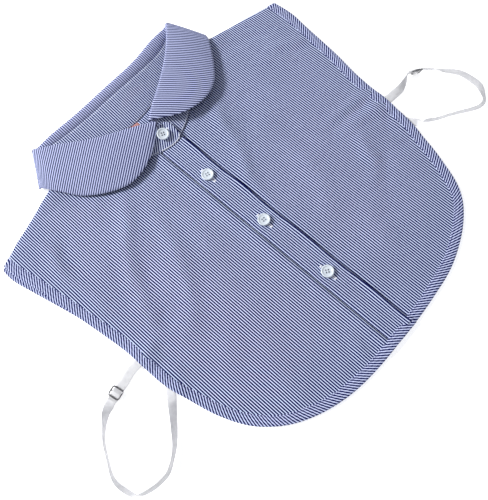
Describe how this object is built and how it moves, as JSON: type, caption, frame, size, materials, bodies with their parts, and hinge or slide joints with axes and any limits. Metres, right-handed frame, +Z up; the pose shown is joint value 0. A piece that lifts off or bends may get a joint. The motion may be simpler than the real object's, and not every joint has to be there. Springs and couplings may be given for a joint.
{
  "type": "detachable shirt collar",
  "caption": "Half shirt with a round-leaf collar, button placket and curved hem, worn under a pullover; elastic side loops join front and back; laid flat.",
  "frame": {"origin": "on the surface that the garment lies on, on its centre front, midway between hem and collar fold", "axes": "+X across the garment to the viewer's right, +Y along the centre front from hem to neck, +Z up from the surface"},
  "size_m": [0.4746, 0.3584, 0.018],
  "materials": {
    "striped_cotton": "matt woven cotton, fine navy and white stripe",
    "bias_binding": "the same cotton cut on the bias",
    "label_cloth": "plain woven tape",
    "button": "pearly white",
    "elastic": "woven elastic",
    "slider_metal": "plated"
  },
  "bodies": {
    "root": {"back_panel": "striped_cotton", "left_front": "striped_cotton", "right_front": "striped_cotton", "placket_band": "striped_cotton", "collar_stand": "striped_cotton", "collar_fall": "striped_cotton", "binding_back": "bias_binding", "binding_front_left": "bias_binding", "binding_front_right": "bias_binding", "neck_label": "label_cloth", "button_collar": "button", "button_upper": "button", "button_middle": "button", "button_lower": "button", "strap_left": "elastic", "strap_right": "elastic", "slider_left": "slider_metal", "slider_right": "slider_metal"}
  },
  "joints": []
}
